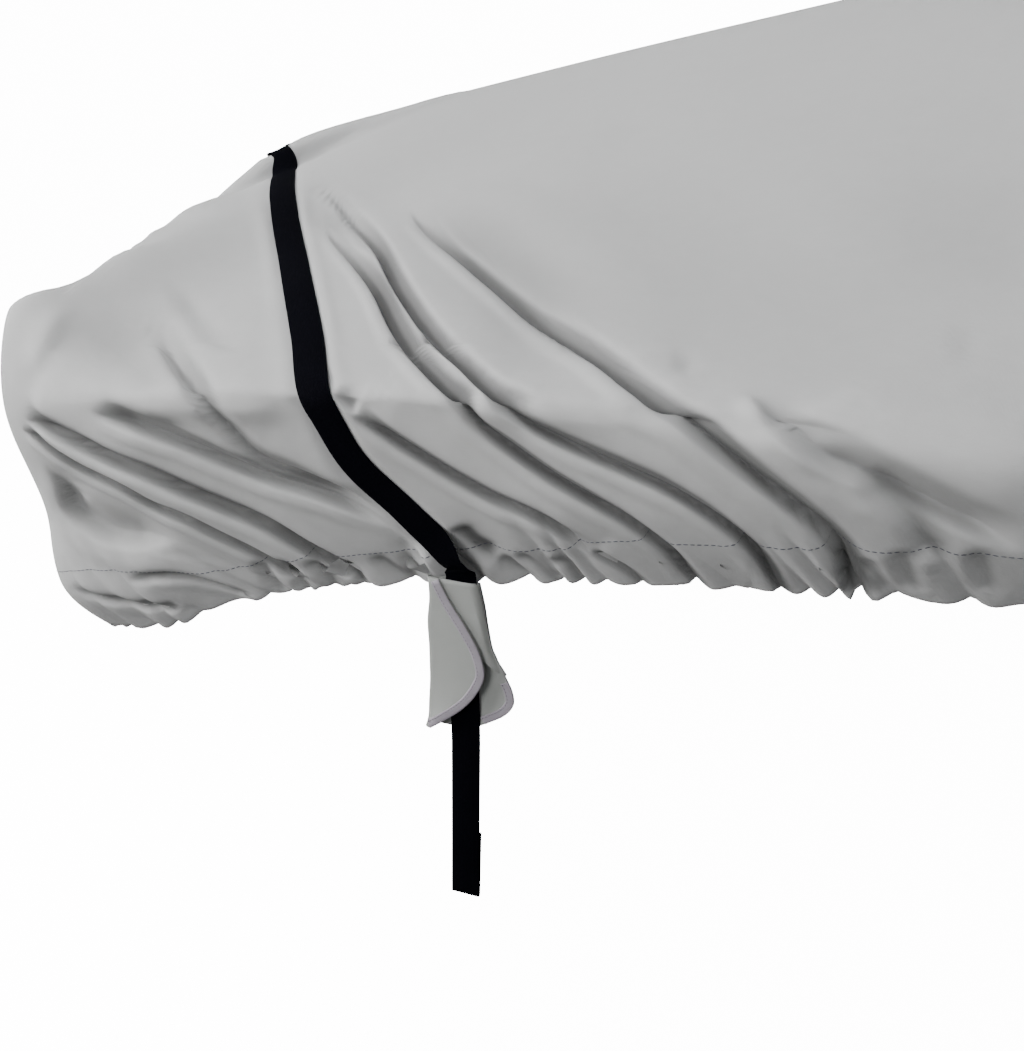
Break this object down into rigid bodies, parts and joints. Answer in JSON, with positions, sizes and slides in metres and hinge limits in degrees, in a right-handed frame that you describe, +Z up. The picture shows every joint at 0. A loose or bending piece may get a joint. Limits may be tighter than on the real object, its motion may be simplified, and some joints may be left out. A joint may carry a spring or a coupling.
{
  "type": "fitted boat cover",
  "caption": "Grey cloth cover shaped to a small runabout, open below, with a gathered elastic hem and a webbing strap over its stern.",
  "frame": {"origin": "the point under the cover's highest spot, where the boat's windshield or pole holds the cloth up", "axes": "+X towards the bow, +Y to port, +Z up"},
  "size_m": [5.1653, 2.3022, 1.2461],
  "materials": {
    "cover_cloth": "matt coated polyester, fine weave",
    "webbing": "black flat webbing",
    "flap_cloth": "matt grey polyester",
    "binding_tape": "ribbed mauve-grey tape"
  },
  "bodies": {
    "root": {"cover": "cover_cloth", "webbing": "webbing", "flap_starboard": "flap_cloth", "flap_port": "flap_cloth", "binding_front_starboard": "binding_tape", "binding_back_starboard": "binding_tape", "binding_front_port": "binding_tape", "binding_back_port": "binding_tape", "stern_tab_starboard": "webbing", "stern_tab_port": "webbing"}
  },
  "joints": []
}
